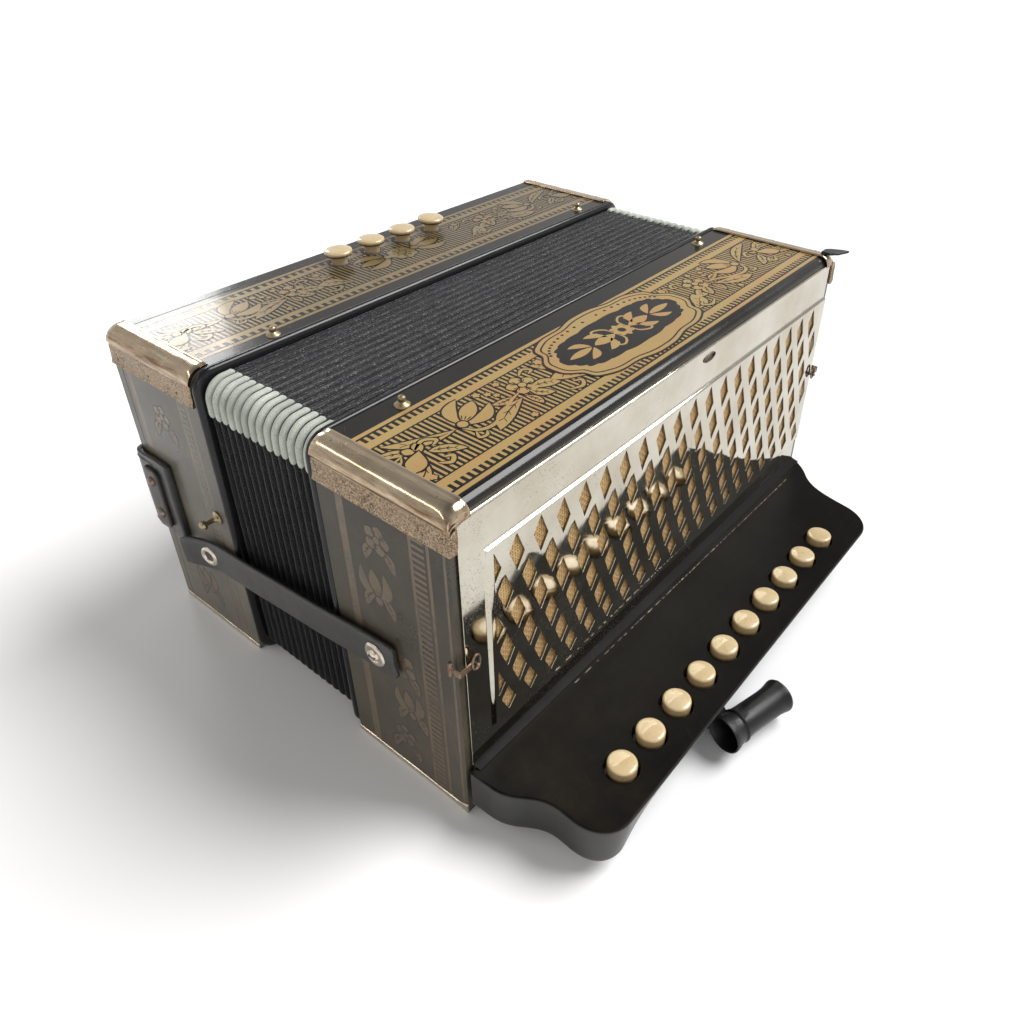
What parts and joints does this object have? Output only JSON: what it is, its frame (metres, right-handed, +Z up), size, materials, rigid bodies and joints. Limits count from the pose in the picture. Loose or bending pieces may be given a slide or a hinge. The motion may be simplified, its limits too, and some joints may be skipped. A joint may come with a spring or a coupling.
{
  "type": "button accordion",
  "caption": "Small one-row button accordion lying on its back: treble box with keyboard shelf and pierced grille, folded bellows, bass box with press buttons and hand strap.",
  "frame": {"origin": "bottom centre of the whole object's box, on the surface that the instrument's back lies on", "axes": "+X from the bass box to the treble box and its keyboard shelf, +Y along the keyboard from the near end, +Z up out of the instrument's decorated front"},
  "size_m": [0.3122, 0.3034, 0.1572],
  "materials": {
    "black_lacquer": "gloss",
    "keyboard_black": "satin",
    "pale_wood": "matte",
    "nickel": "polished",
    "brass": "satin",
    "lever_steel": "satin",
    "reed_zinc": "satin",
    "cream_plastic": "gloss",
    "black_leather": "satin",
    "grille_cloth": "matte",
    "bellows_card": "matte"
  },
  "bodies": {
    "treble": {"treble_case": "black_lacquer", "treble_action_board": "pale_wood", "treble_reed_block": "pale_wood", "treble_reed_plate": "reed_zinc", "grille_plate": "nickel", "grille_cloth": "grille_cloth", "keyboard_shelf": "keyboard_black", "keyboard_cover": "keyboard_black", "key_axle": "lever_steel", "thumb_loop": "black_leather", "bellows_frame_treble": "black_lacquer", "treble_moulding_near": "nickel", "treble_moulding_far": "nickel", "bellows": "bellows_card"},
    "bass": {"bass_case": "black_lacquer", "bass_end_plate": "black_lacquer", "bass_action_board": "pale_wood", "bass_reed_block": "pale_wood", "bass_reed_plate": "reed_zinc", "bellows_frame_bass": "black_lacquer", "hand_strap": "black_leather", "hand_strap_plate_near": "nickel", "hand_strap_plate_far": "nickel", "bass_moulding_near": "nickel", "bass_moulding_far": "nickel", "strap_stud_near": "brass", "strap_stud_far": "brass"},
    "treble_key_1": {"treble_lever_1": "lever_steel", "treble_button_1": "cream_plastic"},
    "treble_key_2": {"treble_lever_2": "lever_steel", "treble_button_2": "cream_plastic"},
    "treble_key_3": {"treble_lever_3": "lever_steel", "treble_button_3": "cream_plastic"},
    "treble_key_4": {"treble_lever_4": "lever_steel", "treble_button_4": "cream_plastic"},
    "treble_key_5": {"treble_lever_5": "lever_steel", "treble_button_5": "cream_plastic"},
    "treble_key_6": {"treble_lever_6": "lever_steel", "treble_button_6": "cream_plastic"},
    "treble_key_7": {"treble_lever_7": "lever_steel", "treble_button_7": "cream_plastic"},
    "treble_key_8": {"treble_lever_8": "lever_steel", "treble_button_8": "cream_plastic"},
    "treble_key_9": {"treble_lever_9": "lever_steel", "treble_button_9": "cream_plastic"},
    "treble_key_10": {"treble_lever_10": "lever_steel", "treble_button_10": "cream_plastic"},
    "bass_key_1": {"bass_button_1": "cream_plastic", "bass_pallet_1": "pale_wood"},
    "bass_key_2": {"bass_button_2": "cream_plastic", "bass_pallet_2": "pale_wood"},
    "bass_key_3": {"bass_button_3": "cream_plastic", "bass_pallet_3": "pale_wood"},
    "bass_key_4": {"bass_button_4": "cream_plastic", "bass_pallet_4": "pale_wood"},
    "air_valve": {"air_button": "cream_plastic"},
    "hook_near": {"grille_hook_near": "nickel"},
    "hook_far": {"grille_hook_far": "nickel"},
    "strap_near": {"bellows_strap_near": "black_leather"},
    "strap_far": {"bellows_strap_far": "black_leather"}
  },
  "joints": [
    {"name": "bellows_slide", "type": "slide", "parent": "treble", "child": "bass", "axis": [-1, 0, 0], "range_m": [0, 0.22], "deforming": ["bellows"]},
    {"name": "treble_key_1_press", "type": "hinge", "parent": "treble", "child": "treble_key_1", "pos_m": [0.07189, -0.1012, 0.017], "axis": [0, 1, 0], "range_deg": [0, 4.1], "stiffness_Nm_per_rad": 0.4, "springref_deg": -6.88},
    {"name": "treble_key_2_press", "type": "hinge", "parent": "treble", "child": "treble_key_2", "pos_m": [0.07189, -0.08156, 0.017], "axis": [0, 1, 0], "range_deg": [0, 4.1], "stiffness_Nm_per_rad": 0.4, "springref_deg": -6.88},
    {"name": "treble_key_3_press", "type": "hinge", "parent": "treble", "child": "treble_key_3", "pos_m": [0.07189, -0.06192, 0.017], "axis": [0, 1, 0], "range_deg": [0, 4.1], "stiffness_Nm_per_rad": 0.4, "springref_deg": -6.88},
    {"name": "treble_key_4_press", "type": "hinge", "parent": "treble", "child": "treble_key_4", "pos_m": [0.07189, -0.04228, 0.017], "axis": [0, 1, 0], "range_deg": [0, 4.1], "stiffness_Nm_per_rad": 0.4, "springref_deg": -6.88},
    {"name": "treble_key_5_press", "type": "hinge", "parent": "treble", "child": "treble_key_5", "pos_m": [0.07189, -0.02264, 0.017], "axis": [0, 1, 0], "range_deg": [0, 4.1], "stiffness_Nm_per_rad": 0.4, "springref_deg": -6.88},
    {"name": "treble_key_6_press", "type": "hinge", "parent": "treble", "child": "treble_key_6", "pos_m": [0.07189, -0.003, 0.017], "axis": [0, 1, 0], "range_deg": [0, 4.1], "stiffness_Nm_per_rad": 0.4, "springref_deg": -6.88},
    {"name": "treble_key_7_press", "type": "hinge", "parent": "treble", "child": "treble_key_7", "pos_m": [0.07189, 0.01664, 0.017], "axis": [0, 1, 0], "range_deg": [0, 4.1], "stiffness_Nm_per_rad": 0.4, "springref_deg": -6.88},
    {"name": "treble_key_8_press", "type": "hinge", "parent": "treble", "child": "treble_key_8", "pos_m": [0.07189, 0.03628, 0.017], "axis": [0, 1, 0], "range_deg": [0, 4.1], "stiffness_Nm_per_rad": 0.4, "springref_deg": -6.88},
    {"name": "treble_key_9_press", "type": "hinge", "parent": "treble", "child": "treble_key_9", "pos_m": [0.07189, 0.05592, 0.017], "axis": [0, 1, 0], "range_deg": [0, 4.1], "stiffness_Nm_per_rad": 0.4, "springref_deg": -6.88},
    {"name": "treble_key_10_press", "type": "hinge", "parent": "treble", "child": "treble_key_10", "pos_m": [0.07189, 0.07556, 0.017], "axis": [0, 1, 0], "range_deg": [0, 4.1], "stiffness_Nm_per_rad": 0.4, "springref_deg": -6.88},
    {"name": "bass_key_1_press", "type": "slide", "parent": "bass", "child": "bass_key_1", "axis": [0, 0, -1], "range_m": [0, 0.0025], "stiffness_N_per_m": 300, "springref_m": -0.003},
    {"name": "bass_key_2_press", "type": "slide", "parent": "bass", "child": "bass_key_2", "axis": [0, 0, -1], "range_m": [0, 0.0025], "stiffness_N_per_m": 300, "springref_m": -0.003},
    {"name": "bass_key_3_press", "type": "slide", "parent": "bass", "child": "bass_key_3", "axis": [0, 0, -1], "range_m": [0, 0.0025], "stiffness_N_per_m": 300, "springref_m": -0.003},
    {"name": "bass_key_4_press", "type": "slide", "parent": "bass", "child": "bass_key_4", "axis": [0, 0, -1], "range_m": [0, 0.0025], "stiffness_N_per_m": 300, "springref_m": -0.003},
    {"name": "air_valve_press", "type": "slide", "parent": "bass", "child": "air_valve", "axis": [1, 0, 0], "range_m": [0, 0.005], "stiffness_N_per_m": 250, "springref_m": -0.004},
    {"name": "grille_hook_near_swing", "type": "hinge", "parent": "treble", "child": "hook_near", "pos_m": [0.07529, -0.142, 0.084], "axis": [0, 0, -1], "range_deg": [0, 100]},
    {"name": "grille_hook_far_swing", "type": "hinge", "parent": "treble", "child": "hook_far", "pos_m": [0.07529, 0.142, 0.084], "axis": [0, 0, 1], "range_deg": [0, 100]},
    {"name": "bellows_strap_near_swing", "type": "hinge", "parent": "treble", "child": "strap_near", "pos_m": [0.03528, -0.14, 0.065], "axis": [0, 1, 0], "range_deg": [-8, 4]},
    {"name": "bellows_strap_far_swing", "type": "hinge", "parent": "treble", "child": "strap_far", "pos_m": [0.03528, 0.14, 0.065], "axis": [0, 1, 0], "range_deg": [-8, 4]}
  ]
}
